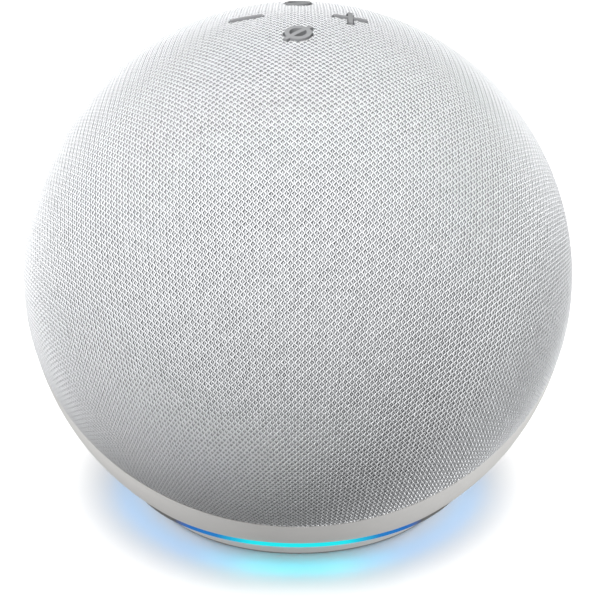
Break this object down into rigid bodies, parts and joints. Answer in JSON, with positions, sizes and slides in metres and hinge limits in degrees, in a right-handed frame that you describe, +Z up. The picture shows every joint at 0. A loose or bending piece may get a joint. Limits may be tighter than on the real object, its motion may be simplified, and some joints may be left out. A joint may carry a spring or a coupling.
{
  "type": "smart speaker",
  "caption": "Spherical smart speaker with a knitted front and top, moulded rear housing, light ring above the base, press keys on top, and a tilted woofer with side tweeters inside.",
  "frame": {"origin": "on the floor, at the bottom centre of the rubber foot, under the centre of the sphere", "axes": "+Z up; the front faces -Y; the sockets face +Y; the minus key is on -X and the plus key on +X"},
  "size_m": [0.144, 0.1436, 0.133],
  "materials": {
    "knit_fabric": "closely knitted polyester over the front and top",
    "light_plastic": "fine satin moulded plastic",
    "dark_plastic": "black moulded plastic, hidden inside",
    "seam_rubber": "dark soft gasket",
    "key_silicone": "matt grey silicone",
    "foot_rubber": "soft non-slip rubber",
    "diffuser": "translucent light guide",
    "board": "lacquered circuit board",
    "chip": "moulded chip package",
    "led_lens": "clear lamp package",
    "tinned_steel": "tinned steel",
    "screw_steel": "zinc-plated steel",
    "magnet": "coated magnet",
    "cone_paper": "pressed fibre cone",
    "surround_rubber": "butyl rubber",
    "spider_cloth": "resin-treated cloth",
    "dome_silk": "coated silk",
    "copper": "copper winding",
    "aluminium": "extruded aluminium",
    "thermal_pad": "soft heat-conducting pad",
    "nylon": "nylon connector shell",
    "cable_sleeve": "cable insulation",
    "contact_brass": "plated contact"
  },
  "bodies": {
    "root": {"fabric_cover": "knit_fabric", "grille_shell": "dark_plastic", "seam_gasket": "seam_rubber", "rear_housing": "light_plastic", "light_ring": "diffuser", "led_board": "board", "leds": "led_lens", "base_plate": "light_plastic", "base_screws": "screw_steel", "rubber_foot": "foot_rubber", "button_deck": "dark_plastic", "top_board": "board", "top_board_screws": "screw_steel", "tact_switches": "tinned_steel", "microphones": "tinned_steel", "speaker_frame": "dark_plastic", "speaker_chamber": "dark_plastic", "chamber_screws": "screw_steel", "frame_screws": "screw_steel", "woofer_gasket": "seam_rubber", "woofer_basket": "dark_plastic", "woofer_screws": "screw_steel", "woofer_top_plate": "screw_steel", "woofer_magnet": "magnet", "woofer_yoke": "screw_steel", "woofer_surround": "surround_rubber", "woofer_spider": "spider_cloth", "tweeter_left_housing": "dark_plastic", "tweeter_left_magnet": "magnet", "tweeter_right_housing": "dark_plastic", "tweeter_right_magnet": "magnet", "main_board": "board", "board_screws": "screw_steel", "shield_can": "tinned_steel", "processor": "chip", "thermal_pad": "thermal_pad", "heat_sink": "aluminium", "board_chips": "chip", "capacitors": "chip", "cable_sockets": "nylon", "dc_jack": "dark_plastic", "dc_jack_pin": "contact_brass", "audio_jack": "dark_plastic", "ribbon_cable": "cable_sleeve", "woofer_leads": "cable_sleeve"},
    "key_minus": {"key_minus": "key_silicone", "switch_plunger_minus": "dark_plastic"},
    "key_plus": {"key_plus": "key_silicone", "switch_plunger_plus": "dark_plastic"},
    "key_mic_off": {"key_mic_off": "key_silicone", "switch_plunger_mic_off": "dark_plastic"},
    "key_action": {"key_action": "key_silicone", "switch_plunger_action": "dark_plastic"},
    "woofer_cone": {"woofer_cone": "cone_paper", "woofer_dust_cap": "cone_paper", "woofer_voice_coil": "copper"},
    "tweeter_left_dome": {"tweeter_left_dome": "dome_silk"},
    "tweeter_right_dome": {"tweeter_right_dome": "dome_silk"}
  },
  "joints": [
    {"name": "press_minus", "type": "slide", "parent": "root", "child": "key_minus", "axis": [0, 0, -1], "range_m": [0, 0.0005], "stiffness_N_per_m": 400},
    {"name": "press_plus", "type": "slide", "parent": "root", "child": "key_plus", "axis": [0, 0, -1], "range_m": [0, 0.0005], "stiffness_N_per_m": 400},
    {"name": "press_mic_off", "type": "slide", "parent": "root", "child": "key_mic_off", "axis": [0, 0, -1], "range_m": [0, 0.0005], "stiffness_N_per_m": 400},
    {"name": "press_action", "type": "slide", "parent": "root", "child": "key_action", "axis": [0, 0, -1], "range_m": [0, 0.0005], "stiffness_N_per_m": 400},
    {"name": "woofer_travel", "type": "slide", "parent": "root", "child": "woofer_cone", "axis": [0, -0.6157, 0.788], "range_m": [-0.003, 0.003], "stiffness_N_per_m": 1500, "deforming": ["woofer_surround", "woofer_spider"]},
    {"name": "tweeter_left_travel", "type": "slide", "parent": "root", "child": "tweeter_left_dome", "axis": [-0.5785, -0.7405, 0.342], "range_m": [-0.0003, 0.0003], "stiffness_N_per_m": 600},
    {"name": "tweeter_right_travel", "type": "slide", "parent": "root", "child": "tweeter_right_dome", "axis": [0.5785, -0.7405, 0.342], "range_m": [-0.0003, 0.0003], "stiffness_N_per_m": 600}
  ]
}
